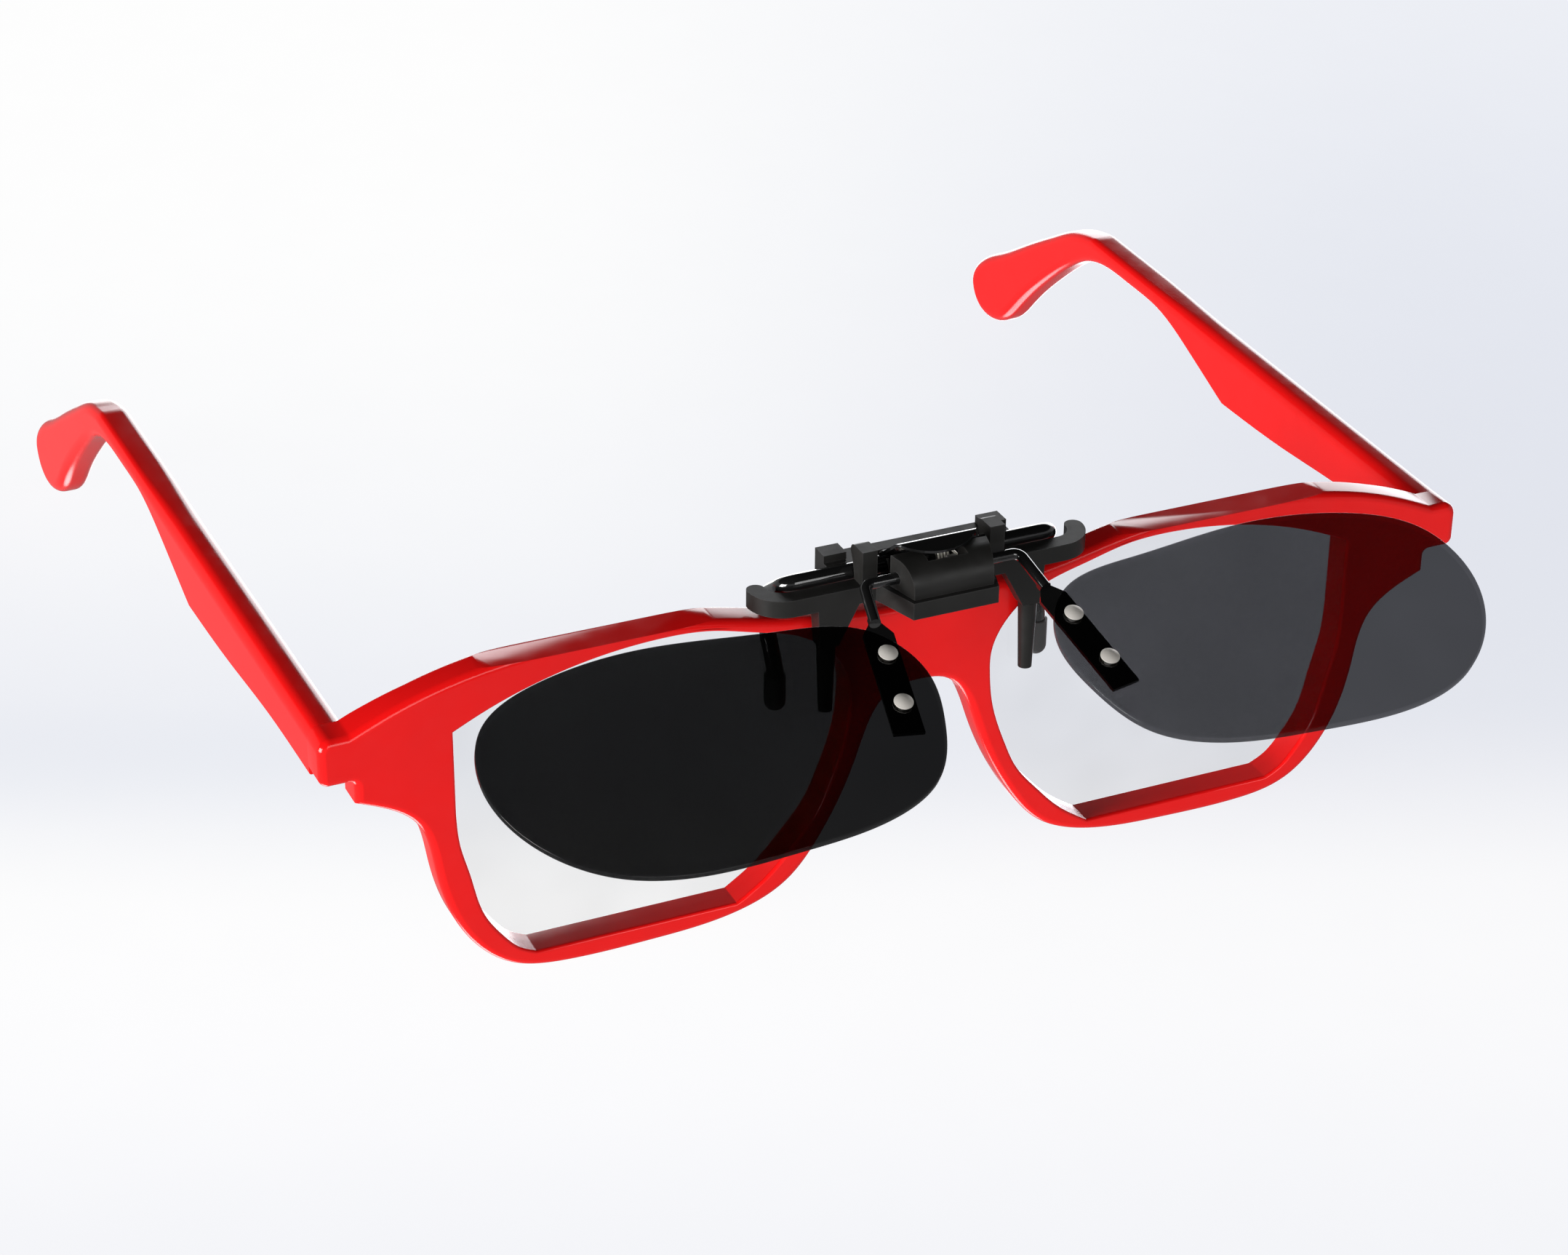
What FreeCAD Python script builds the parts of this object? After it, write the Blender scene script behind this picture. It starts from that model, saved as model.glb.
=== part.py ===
import FreeCAD, Part

# Flip-up clip-on sunglasses on the spectacle frame they are made for.
# Millimetres, +Z up, +X to the right, -Y towards the front.
# The origin is on the plane of symmetry, at the back face of the rims, on the datum line of the lenses.

import math
import os

import Sketcher
from FreeCAD import Placement, Rotation, Vector

X_AXIS = Vector(1, 0, 0)
Y_AXIS = Vector(0, 1, 0)
Z_AXIS = Vector(0, 0, 1)

doc = FreeCAD.newDocument("ClipOnSunglasses")
sheet = doc.addObject("Spreadsheet::Sheet", "Sizes")

SIZES = {
    # spectacle front
    "rim_depth": 4.0, "front_round": 0.9, "opening_round": 0.4,
    "end_half": 70.8, "end_top": 12.5, "end_bottom": 6.8,
    "step_in": 66.9, "step_bottom": 4.0, "brow_top": 17.4,
    "bridge_top": 14.2, "bridge_bottom": 4.1, "rim_bottom": -22.4, "opening_bottom": -20.0,
    "opening_top": 16.5, "opening_side": 55.75,
    "lens_fit": 0.02, "clear_thick": 2.2, "clear_back": 1.55,
    # temples
    "temple_thick": 4.2, "temple_gap": 0.1, "temple_splay": 0.68,
    # temple hinges
    "fold_x": 65.2, "fold_y": 2.3, "fold_z": 8.2, "knuckle_r": 1.1, "knuckle_len": 1.2,
    "knuckle_gap": 0.05, "screw_r": 0.45, "screw_fit": 0.05, "screw_head_r": 0.85, "leaf_thick": 0.9,
    # front jaw
    "jaw_front": -6.2, "jaw_depth": 2.1, "jaw_bottom": 17.15, "jaw_thick": 2.05, "horn_start": 16.6,
    "horn_r": 3.1, "post_in": 6.92, "post_out": 8.73, "post_top": 23.36, "prong_x": 12.55,
    "prong_top_r": 1.1, "prong_tip_r": 0.8, "prong_bottom": 4.0, "prong_root": 12.4,
    "slab_front": -12.0, "slab_half_front": 5.2, "slab_half_back": 7.0, "lug_in": 3.3, "lug_len": 1.2,
    "lug_r": 1.6, "pivot_fit": 0.05, "pin_y": -4.75, "pin_z": 21.58,
    # hinge housing
    "housing_front": -11.4, "housing_back": -7.2, "housing_top": 23.0, "housing_half_front": 4.85,
    "housing_half_back": 5.85, "housing_round": 3.0, "recess_half": 2.4, "recess_floor": 19.5,
    # rear jaw
    "pivot_y": -2.9, "pivot_z": 19.5, "rod_r": 1.0, "leg_x": 16.5, "leg_y": 1.65, "leg_tip_y": -0.28,
    "leg_bottom": 3.55, "knee_drop": 3.3, "rear_post_in": 8.55, "rear_post_out": 11.3, "rear_post_top": 21.3,
    "yoke_back": 0.7, "yoke_top": 20.4, "yoke_bottom": 18.4, "pad_r": 1.25, "pad_top": 6.8,
    "spring_swing": 1.85, "coil_relief": 1.55,
    # flipping lens bridge, laid out flat along its own plane
    "flip_y": -8.2, "flip_z": 20.6, "flip_tilt": 20.8, "bridge_r": 0.65, "bridge_fit": 0.05,
    "arm_x": 9.5, "arm_length": 5.4, "arm_lean": 9.7, "strip_width": 3.5, "strip_thick": 0.4,
    "strip_low": -0.67, "strip_end": 20.9, "rivet_near": 10.5, "rivet_far": 17.4,
    "tint_low": -0.25, "tint_thick": 0.75, "rivet_r": 0.45, "rivet_head_r": 1.08, "collar_r": 0.8,
    "collar_high": 0.25, "rivet_hole_r": 0.48,
}

for row, (alias, value) in enumerate(SIZES.items(), start=1):
    sheet.set(f"A{row}", alias)
    sheet.set(f"B{row}", str(value))
    sheet.setAlias(f"B{row}", alias)
doc.recompute()

S = SIZES
parts = []


def bind(obj, **links):
    """Bind properties of an object to cells of the sheet."""
    for prop, text in links.items():
        obj.setExpression(prop.replace("__", "."), cells(text))


def cells(text):
    """Write a formula on aliases as one on the sheet's cells."""
    out = []
    word = ""
    for ch in text + " ":
        if ch.isalnum() or ch == "_":
            word += ch
            continue
        out.append("Sizes." + word if word in SIZES else word)
        out.append(ch)
        word = ""
    return "".join(out).strip()


def keep(obj, label, place=None):
    """Name a finished sub-part and give it its placement."""
    obj.Label = label
    if place is not None:
        obj.Placement = place
    parts.append(obj)
    return obj


def at(x=0.0, y=0.0, z=0.0, axis=Z_AXIS, angle=0.0):
    return Placement(Vector(x, y, z), Rotation(axis, angle))


def cylinder(name, radius, height, place):
    obj = doc.addObject("Part::Cylinder", name)
    bind(obj, Radius=radius, Height=height)
    obj.Placement = place
    return obj


def box(name, length, width, height, place):
    obj = doc.addObject("Part::Box", name)
    bind(obj, Length=length, Width=width, Height=height)
    obj.Placement = place
    return obj


def join(name, shapes):
    obj = doc.addObject("Part::MultiFuse", name)
    obj.Shapes = shapes
    obj.Refine = True
    return obj


def cut(name, base, tool):
    obj = doc.addObject("Part::Cut", name)
    obj.Base = base
    obj.Tool = tool
    return obj


def plain(name, shape):
    obj = doc.addObject("Part::Feature", name)
    obj.Shape = shape
    return obj


def body(name, label):
    obj = doc.addObject("PartDesign::Body", name)
    return keep(obj, label)


def plane(owner, role):
    return next(f for f in owner.Origin.OriginFeatures if f.Role == role)


def curve(points):
    """A line through two points, an arc through three, a smooth curve through more."""
    if len(points) == 2:
        return Part.LineSegment(*points)
    if len(points) == 3:
        return Part.Arc(*points)
    spline = Part.BSplineCurve()
    spline.interpolate(points)
    return spline


def sketch(owner, name, role, chains, offset=0.0):
    """A closed outline on one of the body's own planes, from chains of (u, v) points."""
    sk = owner.newObject("Sketcher::SketchObject", name)
    sk.AttachmentSupport = [(plane(owner, role), "")]
    sk.MapMode = "FlatFace"
    if offset:
        sk.AttachmentOffset = Placement(Vector(0, 0, offset), Rotation())
    for chain in chains:
        sk.addGeometry(curve([Vector(u, v, 0) for u, v in chain]), False)
    return sk


def circle_sketch(owner, name, role, centres, radius, offset=0.0):
    sk = owner.newObject("Sketcher::SketchObject", name)
    sk.AttachmentSupport = [(plane(owner, role), "")]
    sk.MapMode = "FlatFace"
    if offset:
        sk.AttachmentOffset = Placement(Vector(0, 0, offset), Rotation())
    for u, v in centres:
        index = sk.addGeometry(Part.Circle(Vector(u, v, 0), Z_AXIS, S[radius]), False)
        number = sk.addConstraint(Sketcher.Constraint("Radius", index, S[radius]))
        sk.setExpression(f"Constraints[{number}]", cells(radius))
    return sk


def pad(owner, name, outline, length, midplane=False, reverse=False):
    feature = owner.newObject("PartDesign::Pad", name)
    feature.Profile = outline
    bind(feature, Length=length)
    feature.Midplane = midplane
    feature.Reversed = reverse
    owner.Tip = feature
    return feature


def pocket(owner, name, outline, length, midplane=False, reverse=False):
    feature = owner.newObject("PartDesign::Pocket", name)
    feature.Profile = outline
    bind(feature, Length=length)
    feature.Midplane = midplane
    feature.Reversed = reverse
    owner.Tip = feature
    return feature


def mirrored(chains):
    """The chains of a right half, followed by their mirror images from the end back."""
    left = [[(-u, v) for u, v in reversed(chain)] for chain in reversed(chains)]
    return chains + left


def scaled(chains, side):
    return [[(side * u, v) for u, v in chain] for chain in chains]


# ---------------------------------------------------------------- spectacle front

END = [(S["end_half"], S["end_bottom"]), (S["end_half"], S["end_top"])]
STEP = (S["step_in"], S["step_bottom"])
RIM_HALF = [
    (3.2, 3.6), (7.6, -4.0), (12.0, -13.4), (16.2, -18.6), (23.0, -21.5), (33.0, S["rim_bottom"]),
    (43.0, S["rim_bottom"]), (50.0, -20.9), (55.0, -16.0), (58.2, -7.0), (60.0, -0.4), STEP,
]
BROW_HALF = [(67.4, S["end_top"]), (62.0, 14.8), (52.0, 17.4), (37.0, 18.3), (25.5, 17.4), (17.5, 15.7), (9.0, 14.6)]
CORNER = (S["opening_side"], 10.4)
SIDE_LOW = (S["opening_side"], 0.3)
FLOOR_IN, FLOOR_OUT = (22.6, S["opening_bottom"]), (46.9, S["opening_bottom"])
OPENING = [
    [CORNER, (52.6, 11.9), (43.8, 14.9), (38.8, 15.9), (32.0, S["opening_top"]), (25.5, 16.1),
     (20.8, 14.9), (15.3, 13.2), (11.4, 10.4), (9.0, 6.0), (8.9, 3.0), (9.3, -0.7), (11.3, -7.0),
     (12.8, -10.3), (15.7, -14.0), (18.7, -17.2), FLOOR_IN],
    [FLOOR_IN, FLOOR_OUT],
    [FLOOR_OUT, (49.0, -18.9), (50.6, -17.2), (52.9, -13.6), (54.4, -8.0), (55.4, -4.0), SIDE_LOW],
    [SIDE_LOW, CORNER],
]


def symmetric(half, middle):
    """A curve through the left half's points, the middle and the right half's points."""
    return [(-u, v) for u, v in reversed(half)] + [middle] + half


def front_outline():
    lower = symmetric(RIM_HALF, (0.0, S["bridge_bottom"]))
    brow = symmetric(list(reversed(BROW_HALF)), (0.0, S["bridge_top"]))[::-1]
    right = [STEP, (S["step_in"], S["end_bottom"]), END[0], END[1], brow[0]]
    left = [(-u, v) for u, v in reversed(right)]
    chains = [lower] + [[p, q] for p, q in zip(right, right[1:])]
    return chains + [brow] + [[p, q] for p, q in zip(left, left[1:])]


def front_frame():
    owner = body("FrontFrame", "front_frame")
    outline = sketch(owner, "FrontOutline", "XZ_Plane", front_outline())
    pad(owner, "FrontPlate", outline, "rim_depth")
    for side, word in ((1, "Right"), (-1, "Left")):
        hole = sketch(owner, f"Opening{word}", "XZ_Plane", scaled(OPENING, side))
        pocket(owner, f"Rim{word}", hole, "3 * rim_depth", midplane=True)
    doc.recompute()
    for name, radius, wanted in (
            ("LowerRound", "front_round", lambda e: e.BoundBox.ZMin < -22 and e.BoundBox.XLength > 100),
            ("RimRound", "opening_round", lambda e: on_one_side(e.BoundBox) and abs(e.BoundBox.Center.x) < 56)):
        round_edges(owner, name, radius, lambda e: on_front(e, -S["rim_depth"]) and wanted(e))
    corners = [(-66.0, S["brow_top"]), (66.0, S["brow_top"]), (66.0, 25.0), (-66.0, 25.0)]
    top = [[p, q] for p, q in zip(corners, corners[1:] + corners[:1])]
    flat = sketch(owner, "BrowFlat", "XZ_Plane", top)
    pocket(owner, "BrowCut", flat, "3 * rim_depth", midplane=True)


def on_one_side(bounds):
    return bounds.XMin * bounds.XMax > 0


def on_front(edge, y):
    return all(abs(v.Point.y - y) < 1e-4 for v in edge.Vertexes)


def round_edges(owner, name, radius, wanted):
    """Round the wanted edges of a body's present tip."""
    base = owner.Tip
    names = [f"Edge{i}" for i, e in enumerate(base.Shape.Edges, start=1) if wanted(e)]
    feature = owner.newObject("PartDesign::Fillet", name)
    feature.Base = (base, names)
    bind(feature, Radius=radius)
    owner.Tip = feature
    doc.recompute()
    return feature


def clear_lens(side, word):
    owner = body("ClearLens" + word, "clear_lens_" + word.lower())
    u0, v0 = (9.1 + S["opening_side"]) / 2, (S["opening_top"] + S["opening_bottom"]) / 2
    k = 1 - S["lens_fit"] / 18
    chains = [[(side * (u0 + k * (u - u0)), v0 + k * (v - v0)) for u, v in c] for c in OPENING]
    outline = sketch(owner, "LensOutline" + word, "XZ_Plane", chains, S["clear_back"])
    pad(owner, "LensPlate" + word, outline, "clear_thick")


# ---------------------------------------------------------------- temples and their hinges

FRONT_TOP, FRONT_LOW = (S["temple_gap"], 12.5), (S["temple_gap"], 6.6)
TEMPLE = [
    [FRONT_LOW, FRONT_TOP],
    [FRONT_TOP, (82.0, 13.4)],
    [(82.0, 13.4), (87.0, 12.4), (94.0, 9.2), (102.0, 4.8), (110.5, 0.0), (115.8, -3.0), (118.3, -6.4),
     (116.8, -9.8), (112.8, -11.1), (108.0, -9.6), (103.5, -5.6), (95.0, 1.9), (89.0, 6.4), (84.0, 9.2),
     (78.5, 10.6), (71.0, 10.8), (62.0, 10.4), (54.0, 8.2), (44.5, 4.9)],
    [(44.5, 4.9), (29.5, 5.4), (14.0, 6.5), FRONT_LOW],
]


def splay(side):
    """A small outward turn of the temple about its hinge pin."""
    turn = Rotation(Z_AXIS, -side * S["temple_splay"])
    pin = Vector(side * S["fold_x"], S["fold_y"], 0)
    return Placement(pin - turn.multVec(pin), turn)


def temple(side, word):
    owner = body("Temple" + word, "temple_" + word.lower())
    inner = S["end_half"] - S["temple_thick"]
    offset = inner if side > 0 else -S["end_half"]
    outline = sketch(owner, "TempleOutline" + word, "YZ_Plane", TEMPLE, offset)
    pad(owner, "TempleBar" + word, outline, "temple_thick")
    owner.Placement = splay(side)


def hinge(side, word):
    low = word.lower()
    x, y, z = side * S["fold_x"], S["fold_y"], S["fold_z"]
    half = 1.5 * S["knuckle_len"]
    bore = cylinder("ScrewBore" + word, "screw_r + screw_fit", "8", at(x, y, z - 4))
    plate = box("FrontPlate" + word, "4.2", "leaf_thick", "3 * knuckle_len",
                at(side * 62.7 - 2.1, 0.02, z - half))
    pieces = [plate]
    for level, tag in ((-half, "Low"), (half - S["knuckle_len"], "High")):
        pieces.append(cylinder(f"FrontKnuckle{tag}{word}", "knuckle_r", "knuckle_len", at(x, y, z + level)))
        web = box(f"FrontWeb{tag}{word}", "1.5", "fold_y - 0.02", "knuckle_len",
                  at(side * 64.55 - 0.75, 0.02, z + level))
        pieces.append(web)
    keep(cut("FrontLeaf" + word, join("FrontLeafBody" + word, pieces), bore), "hinge_front_leaf_" + low)

    bore = cylinder("TempleBore" + word, "screw_r + screw_fit", "8", at(x, y, z - 4))
    middle = S["knuckle_len"] / 2 - S["knuckle_gap"]
    knuckle = cylinder("TempleKnuckle" + word, "knuckle_r", "knuckle_len - 2 * knuckle_gap",
                       at(x, y, z - middle))
    web = box("TempleWeb" + word, "1.2", "1.5", "knuckle_len - 2 * knuckle_gap",
              at(side * 65.95 - 0.6, y + 0.1, z - middle))
    plate = box("TemplePlate" + word, "leaf_thick - 0.1", "4", "2.4",
                at(side * 66.1 - 0.4, y + 1.35, z - 1.2))
    leaf = cut("TempleLeaf" + word, join("TempleLeafBody" + word, [knuckle, web, plate]), bore)
    keep(leaf, "hinge_temple_leaf_" + low)

    shank = cylinder("ScrewShank" + word, "screw_r", "3 * knuckle_len + 0.3", at(x, y, z - half - 0.25))
    head = cylinder("ScrewHead" + word, "screw_head_r", "0.55", at(x, y, z + half + 0.03))
    slot = box("ScrewSlot" + word, "2", "0.25", "0.3", at(x - 1, y - 0.125, z + half + 0.35))
    screw = cut("Screw" + word, join("ScrewBody" + word, [shank, head]), slot)
    keep(screw, "hinge_screw_" + low)


# ---------------------------------------------------------------- front jaw

def jaw_plan():
    """Right half of the jaw bar with its back-curled horn, seen from above."""
    front, back = S["jaw_front"], S["jaw_front"] + S["jaw_depth"]
    mid = (front + back) / 2
    cx, cy = S["horn_start"], mid + S["horn_r"]
    outer, inner = S["horn_r"] + S["jaw_depth"] / 2, S["horn_r"] - S["jaw_depth"] / 2
    c = math.sqrt(0.5)
    return [
        [(0.0, S["slab_front"]), (S["slab_half_front"], S["slab_front"])],
        [(S["slab_half_front"], S["slab_front"]), (S["slab_half_back"], front)],
        [(S["slab_half_back"], front), (cx, front)],
        [(cx, front), (cx + outer * c, cy - outer * c), (cx + outer, cy)],
        [(cx + outer, cy), (cx + S["horn_r"], cy + S["jaw_depth"] / 2), (cx + inner, cy)],
        [(cx + inner, cy), (cx + inner * c, cy - inner * c), (cx, back)],
        [(cx, back), (0.0, back)],
    ]


def along_x(name, radius, length, x, y, z):
    return cylinder(name, radius, length, at(x, y, z, Y_AXIS, 90))


def front_jaw():
    owner = doc.addObject("PartDesign::Body", "JawPlate")
    top = S["jaw_bottom"] + S["jaw_thick"]
    back = S["jaw_front"] + S["jaw_depth"]
    plan = sketch(owner, "JawPlan", "XY_Plane", mirrored(jaw_plan()), S["jaw_bottom"])
    pad(owner, "JawBar", plan, "jaw_thick")
    ear = [
        [(S["jaw_front"], top - 0.3), (S["jaw_front"], S["post_top"])],
        [(S["jaw_front"], S["post_top"]), (-4.0, S["post_top"])],
        [(-4.0, S["post_top"]), (-3.3, 23.0), (-3.1, 22.3)],
        [(-3.1, 22.3), (-3.8, 20.8), (-4.1, top - 0.3)],
        [(-4.1, top - 0.3), (S["jaw_front"], top - 0.3)],
    ]
    for offset, word in ((S["post_in"], "Right"), (-S["post_out"], "Left")):
        profile = sketch(owner, "Ear" + word, "YZ_Plane", ear, offset)
        pad(owner, "FrontPost" + word, profile, "post_out - post_in")
    low, root = S["jaw_bottom"] + 0.2, S["prong_root"]
    for side, word in ((1, "Right"), (-1, "Left")):
        corners = [(14.0, low), (8.9, low), (S["prong_x"] - 1.1, root), (S["prong_x"] + 1.1, root)]
        corners = [(side * u, v) for u, v in corners]
        chains = [[p, q] for p, q in zip(corners, corners[1:] + corners[:1])]
        gusset = sketch(owner, "Gusset" + word, "XZ_Plane", chains, -back)
        pad(owner, "GussetPlate" + word, gusset, "jaw_depth")
    doc.recompute()
    pieces = [owner]
    mid = (S["jaw_front"] + back) / 2
    for side, word in ((1, "Right"), (-1, "Left")):
        prong = doc.addObject("Part::Cone", "Prong" + word)
        bind(prong, Radius1="prong_tip_r", Radius2="prong_top_r", Height="prong_root - prong_bottom")
        prong.Placement = at(side * S["prong_x"], mid, S["prong_bottom"])
        pieces.append(prong)
        start = S["lug_in"] if side > 0 else -S["lug_in"] - S["lug_len"]
        pieces.append(along_x("Lug" + word, "lug_r", "lug_len", start, S["pivot_y"], S["pivot_z"]))
        foot = box("LugFoot" + word, "lug_len", "1.9", "pivot_z - jaw_bottom",
                   at(start, -4.8, S["jaw_bottom"]))
        pieces.append(foot)
    jaw = join("JawSolid", pieces)
    tools = [along_x("RodBore", "rod_r + pivot_fit", "10", -5, S["pivot_y"], S["pivot_z"])]
    tools.append(along_x("PinBore", "0.27", "17", -8.5, S["pin_y"], S["pin_z"]))
    tools.append(along_x("CoilRelief", "coil_relief", "6.4", -3.2, S["pivot_y"], S["pivot_z"]))
    for side, word in ((1, "Right"), (-1, "Left")):
        x = side * 3.6
        tools.append(cylinder("SlabBore" + word, "0.52", "3", at(x, -10.4, 17)))
        tools.append(cylinder("SlabSink" + word, "0.95", "0.75", at(x, -10.4, 17)))
    keep(cut("Jaw", jaw, join("JawTools", tools)), "front_jaw")


def hinge_housing():
    base = S["jaw_bottom"] + S["jaw_thick"] + 0.02
    front, back, top, r = S["housing_front"], S["housing_back"], S["housing_top"], S["housing_round"]
    c = math.sqrt(0.5)
    side = doc.addObject("PartDesign::Body", "HousingSide")
    chains = [
        [(front, base), (front, top - r)],
        [(front, top - r), (front + r * (1 - c), top - r * (1 - c)), (front + r, top)],
        [(front + r, top), (back, top)],
        [(back, top), (back, base)],
        [(back, base), (front, base)],
    ]
    outline = sketch(side, "HousingProfile", "YZ_Plane", chains)
    pad(side, "HousingBlock", outline, "2.4 * housing_half_back", midplane=True)
    plan = doc.addObject("PartDesign::Body", "HousingPlan")
    corners = [(-S["housing_half_front"], front), (S["housing_half_front"], front),
               (S["housing_half_back"], back), (-S["housing_half_back"], back)]
    chains = [[p, q] for p, q in zip(corners, corners[1:] + corners[:1])]
    outline = sketch(plan, "HousingTrapezium", "XY_Plane", chains, base - 1)
    pad(plan, "HousingTaper", outline, "8")
    block = doc.addObject("Part::Common", "HousingBody")
    block.Base = side
    block.Tool = plan
    tools = [along_x("FlipBore", "bridge_r + bridge_fit", "14", -7, S["flip_y"], S["flip_z"])]
    tools.append(box("Recess", "2 * recess_half", "3", "5", at(-S["recess_half"], -9.6, S["recess_floor"])))
    for sgn, word in ((1, "Right"), (-1, "Left")):
        tools.append(cylinder("HousingScrewBore" + word, "0.52", "2.2", at(sgn * 3.6, -10.4, 18.5)))
    keep(cut("Housing", block, join("HousingTools", tools)), "hinge_housing")


def housing_screws():
    pieces = []
    for side, word in ((1, "Right"), (-1, "Left")):
        head = cylinder("HousingScrewHead" + word, "0.9", "0.5", at(side * 3.6, -10.4, 17.22))
        shank = cylinder("HousingScrewShank" + word, "0.5", "3", at(side * 3.6, -10.4, 17.5))
        slot = box("HousingScrewSlot" + word, "1.4", "0.25", "0.25",
                   at(side * 3.6 - 0.7, -10.525, 17.1))
        screw = cut("HousingScrew" + word, join("HousingScrewBody" + word, [head, shank]), slot)
        pieces.append(screw)
    group = doc.addObject("Part::Compound", "HousingScrews")
    group.Links = pieces
    keep(group, "housing_screws")


def spring_saddle():
    side = doc.addObject("PartDesign::Body", "SaddleSide")
    chains = [
        [(-4.72, 22.02), (-6.38, 23.72)],
        [(-6.38, 23.72), (-6.8, 23.92), (-7.25, 23.82)],
        [(-7.25, 23.82), (-9.3, 23.36)],
        [(-9.3, 23.36), (-9.3, 23.06)],
        [(-9.3, 23.06), (-7.2, 23.52)],
        [(-7.2, 23.52), (-6.85, 23.6), (-6.55, 23.46)],
        [(-6.55, 23.46), (-4.94, 21.81)],
        [(-4.94, 21.81), (-4.72, 22.02)],
    ]
    outline = sketch(side, "SaddleProfile", "YZ_Plane", chains)
    pad(side, "SaddleSheet", outline, "16", midplane=True)
    plan = doc.addObject("PartDesign::Body", "SaddlePlan")
    chains = [
        [(-6.3, -4.6), (6.3, -4.6)],
        [(6.3, -4.6), (4.75, -6.8)],
        [(4.75, -6.8), (0.0, -9.1), (-4.75, -6.8)],
        [(-4.75, -6.8), (-6.3, -4.6)],
    ]
    outline = sketch(plan, "SaddleMoon", "XY_Plane", chains, 20)
    pad(plan, "SaddleBlank", outline, "6")
    sheet_metal = doc.addObject("Part::Common", "Saddle")
    sheet_metal.Base = side
    sheet_metal.Tool = plan
    keep(sheet_metal, "spring_saddle")
    keep(along_x("SaddlePin", "0.25", "16.4", -8.2, S["pin_y"], S["pin_z"]), "saddle_pin")


# ---------------------------------------------------------------- springs

def coil(name, radius, wire, pitch, turns, x, y, z):
    """A close-wound coil about an axis along X, starting at x."""
    helix = Part.makeHelix(pitch, pitch * turns, radius)
    profile = Part.Wire([Part.makeCircle(wire, Vector(radius, 0, 0), Y_AXIS)])
    solid = Part.Wire(helix.Edges).makePipeShell([profile], True, True)
    solid.rotate(Vector(0, 0, 0), Y_AXIS, 90)
    solid.translate(Vector(x, y, z))
    return solid


def rod_between(start, end, radius):
    span = end - start
    return Part.makeCylinder(radius, span.Length, start, span)


def clamp_springs():
    y, z, wire, r = S["pivot_y"], S["pivot_z"], 0.16, 1.26
    pieces = []
    for x in (1.4, -2.9):
        spring = coil("ClampCoil", r, wire, 0.375, 4, x, y, z)
        outer = x + 1.5 if x > 0 else x
        inner = x if x > 0 else x + 1.5
        arm = rod_between(Vector(outer, y, z + r), Vector(outer, -7.05, z + r), wire)
        hook = rod_between(Vector(inner, y, z - r), Vector(inner, y + 1.6, z - r), wire)
        pieces.append(spring.fuse([arm, hook]))
    obj = plain("ClampSprings", Part.makeCompound(pieces))
    keep(obj, "clamp_springs")


def flip_spring():
    obj = plain("FlipSpring", coil("FlipCoil", 0.88, 0.16, 0.4, 6, -1.75, S["flip_y"], S["flip_z"]))
    keep(obj, "flip_spring")
    x, y, z = 0.95, S["flip_y"], S["flip_z"]
    block = box("DetentBlock", "1.1", "1.9", "2.1", at(x, y - 0.95, z - 1.05))
    bore = along_x("DetentBore", "bridge_r + bridge_fit", "3", x - 1, y, z)
    keep(cut("FlipDetent", block, bore), "flip_detent")


# ---------------------------------------------------------------- rear jaw

def bent_wire(points, radius):
    """A wire of straight runs with an arc of the given radius at every bend."""
    edges = []
    start = points[0]
    for before, corner, after in zip(points, points[1:], points[2:]):
        into = (corner - before).normalize()
        out = (after - corner).normalize()
        half = into.getAngle(out) / 2
        run = radius * math.tan(half)
        a, b = corner - into * run, corner + out * run
        way = (out - into).normalize()
        middle = corner + way * (radius / math.cos(half) - radius)
        edges.append(Part.LineSegment(start, a).toShape())
        edges.append(Part.Arc(a, middle, b).toShape())
        start = b
    edges.append(Part.LineSegment(start, points[-1]).toShape())
    return Part.Wire(edges)


def pipe(points, bend, radius):
    path = bent_wire(points, bend)
    first = points[1] - points[0]
    profile = Part.Wire([Part.makeCircle(radius, points[0], first)])
    return path.makePipeShell([profile], True, False)


def rear_rod():
    x, y, z = S["leg_x"], S["pivot_y"], S["pivot_z"]
    leg = [Vector(x, y, z), Vector(x, S["leg_y"], z - S["knee_drop"]), Vector(x, S["leg_y"], 11.0),
           Vector(x, S["leg_tip_y"], 7.6), Vector(x, S["leg_tip_y"], S["leg_bottom"])]
    other = [Vector(-p.x, p.y, p.z) for p in reversed(leg)]
    keep(plain("RearRod", pipe(other + leg, 1.6, S["rod_r"])), "rear_jaw_rod")


def rear_yoke():
    wide = 2 * S["rear_post_out"]
    y0 = S["pivot_y"] + 0.5
    bar = box("YokeBar", "2 * rear_post_out", "yoke_back - pivot_y - 0.5", "yoke_top - yoke_bottom",
              at(-wide / 2, y0, S["yoke_bottom"]))
    pieces = [bar]
    for x, word in ((S["rear_post_in"], "Right"), (-S["rear_post_out"], "Left")):
        post = box("RearPost" + word, "rear_post_out - rear_post_in", "yoke_back + 1.6",
                   "rear_post_top - yoke_bottom", at(x, -1.6, S["yoke_bottom"]))
        pieces.append(post)
    y, z = S["pivot_y"], S["pivot_z"]
    seat = along_x("YokeSeat", "rod_r + 0.02", "30", -15, y, z)
    swing = along_x("YokeSwing", "spring_swing", "9.9", -4.95, y, z)
    trim = box("YokeTrim", "9.9", "1.4", "3", at(-4.95, y0 - 0.1, 18.2))
    tools = join("YokeTools", [seat, swing, trim])
    keep(cut("Yoke", join("YokeSolid", pieces), tools), "rear_yoke")


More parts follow.
